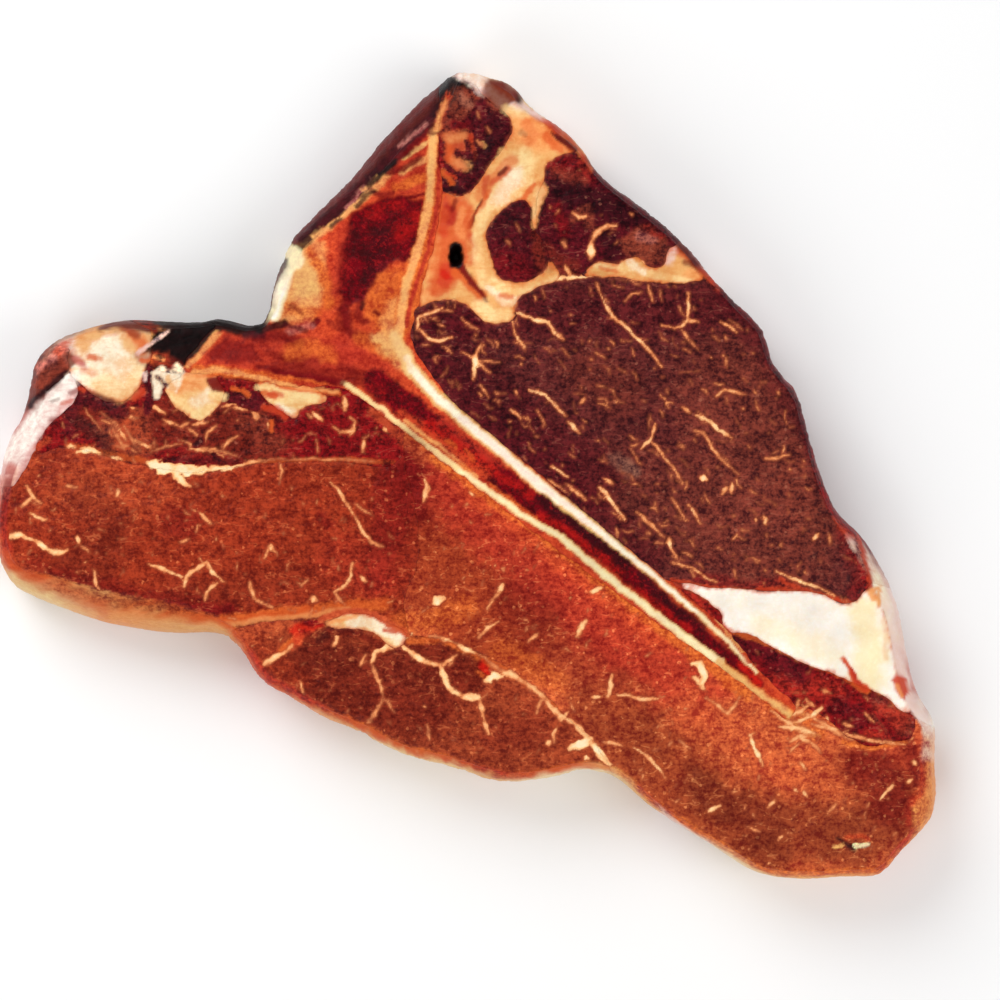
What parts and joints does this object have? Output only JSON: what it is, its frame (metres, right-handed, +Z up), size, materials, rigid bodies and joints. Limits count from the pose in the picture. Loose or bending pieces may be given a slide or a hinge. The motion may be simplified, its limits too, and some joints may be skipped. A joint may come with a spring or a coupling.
{
  "type": "raw t-bone steak",
  "caption": "Thick raw T-bone steak lying flat: sawn T-shaped bone, marbled strip loin and tenderloin muscles, seams and a wedge of fat.",
  "frame": {"origin": "under the middle of the steak's bounding box, on the flat underside it rests on", "axes": "+Z up through the cut face, +X along the steak's length from the left eye muscle to the outer end, +Y towards the tip of the bone"},
  "size_m": [0.2392, 0.2045, 0.0253],
  "materials": {
    "bone": "sawn bone, damp, red marrow between pale walls",
    "dark_muscle": "moist cut meat, fine grain, marbled",
    "brown_muscle": "moist cut meat, fine grain, marbled",
    "red_muscle": "moist cut meat, coarse grain",
    "golden_fat": "waxy fat, semi-matt",
    "white_fat": "waxy fat, semi-matt",
    "silverskin": "smooth damp connective tissue",
    "membrane": "mottled damp membrane",
    "dried_tissue": "dark dried surface"
  },
  "bodies": {
    "root": {"t_bone": "bone", "tip_muscle": "dark_muscle", "inner_back_muscle": "dark_muscle", "outer_back_muscle": "dark_muscle", "strip_loin": "dark_muscle", "upper_fat": "golden_fat", "back_seam_fat": "golden_fat", "sliver_muscle": "dark_muscle", "fat_wedge": "white_fat", "flank_muscle": "dark_muscle", "seam_fat": "golden_fat", "tenderloin": "brown_muscle", "left_fat_pad": "golden_fat", "left_fat_island": "golden_fat", "right_fat_island": "golden_fat", "dried_tissue": "dried_tissue", "left_membrane": "membrane", "left_silverskin": "silverskin", "upper_band_muscle": "dark_muscle", "left_eye_muscle": "brown_muscle", "long_band_muscle": "red_muscle"}
  },
  "joints": []
}
